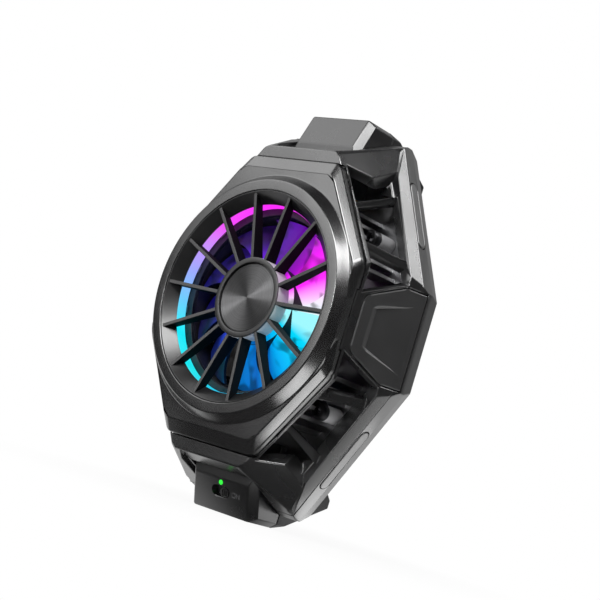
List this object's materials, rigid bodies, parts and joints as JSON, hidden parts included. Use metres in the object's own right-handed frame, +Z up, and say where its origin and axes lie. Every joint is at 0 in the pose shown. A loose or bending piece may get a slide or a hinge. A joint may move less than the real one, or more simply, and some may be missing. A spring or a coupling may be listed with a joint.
{
  "type": "phone cooling fan",
  "caption": "Clip-on phone cooler: octagonal body with a lit fan behind a spoked grille, side vents, a fixed lower jaw with a switch and a sprung sliding upper jaw.",
  "frame": {"origin": "centre of the contact pad's face, where it lies against the phone", "axes": "+Z up towards the sliding jaw, +X to the right seen from the fan side, +Y out of the contact face towards the phone; the fan faces -Y"},
  "size_m": [0.0624, 0.0348, 0.0868],
  "materials": {
    "bezel_plastic": "satin gunmetal",
    "grille_plastic": "satin black",
    "body_plastic": "satin gunmetal black",
    "panel_plastic": "satin black",
    "jaw_plastic": "satin gunmetal",
    "inner_plastic": "black",
    "fan_plastic": "black",
    "blade_plastic": "clear, lit from the ring",
    "switch_plastic": "black",
    "light_guide": "frosted, lit",
    "spun_metal": "spun, dark anodised",
    "aluminium": "plain",
    "steel": "plain",
    "spring_steel": "drawn wire",
    "laminations": "stamped",
    "magnet": "sintered",
    "bronze": "sintered",
    "copper_wire": "enamelled",
    "ceramic": "white ceramic",
    "foam": "closed-cell foam",
    "thermal_pad": "soft silicone",
    "grip_rubber": "matt",
    "pad_rubber": "matt grey",
    "circuit_board": "solder mask",
    "lamp": "white lamp",
    "green_lamp": "lit green"
  },
  "bodies": {
    "base": {"front_bezel": "bezel_plastic", "front_grille": "grille_plastic", "hub_cap": "spun_metal", "light_ring": "light_guide", "led_board": "circuit_board", "leds": "lamp", "fan_frame": "fan_plastic", "fan_screws": "steel", "motor_bearing": "bronze", "stator_core": "laminations", "stator_coils": "copper_wire", "heatsink": "aluminium", "standoffs": "steel", "peltier_module": "ceramic", "foam_gasket": "foam", "cold_plate": "aluminium", "contact_pad": "thermal_pad", "housing": "body_plastic", "side_panel_left": "panel_plastic", "side_panel_right": "panel_plastic", "rear_cover": "body_plastic", "cover_screws": "steel", "corner_pad_upper_left": "pad_rubber", "corner_pad_upper_right": "pad_rubber", "corner_pad_lower_left": "pad_rubber", "corner_pad_lower_right": "pad_rubber", "jaw_guide": "inner_plastic", "guide_screws": "steel", "guide_bushes": "bronze", "return_spring_left": "spring_steel", "return_spring_right": "spring_steel", "lower_jaw": "jaw_plastic", "lower_jaw_hook": "grip_rubber", "jaw_screws": "steel", "switch_body": "steel", "status_light": "green_lamp", "control_board": "circuit_board", "usb_socket": "steel"},
    "fan": {"rotor": "blade_plastic", "rotor_magnet": "magnet", "rotor_shaft": "steel"},
    "jaw": {"upper_jaw": "jaw_plastic", "upper_jaw_hook": "grip_rubber", "guide_rods": "steel", "rod_clips": "steel"},
    "switch": {"switch_slider": "switch_plastic"}
  },
  "joints": [
    {"name": "fan_spin", "type": "hinge", "parent": "base", "child": "fan", "pos_m": [0, -0.0155, 0], "axis": [0, -1, 0], "continuous": true},
    {"name": "jaw_slide", "type": "slide", "parent": "base", "child": "jaw", "axis": [0, 0, 1], "range_m": [0, 0.021], "stiffness_N_per_m": 150, "springref_m": -0.01, "deforming": ["return_spring_left", "return_spring_right"]},
    {"name": "switch_slide", "type": "slide", "parent": "base", "child": "switch", "axis": [1, 0, 0], "range_m": [-0.0025, 0]}
  ]
}
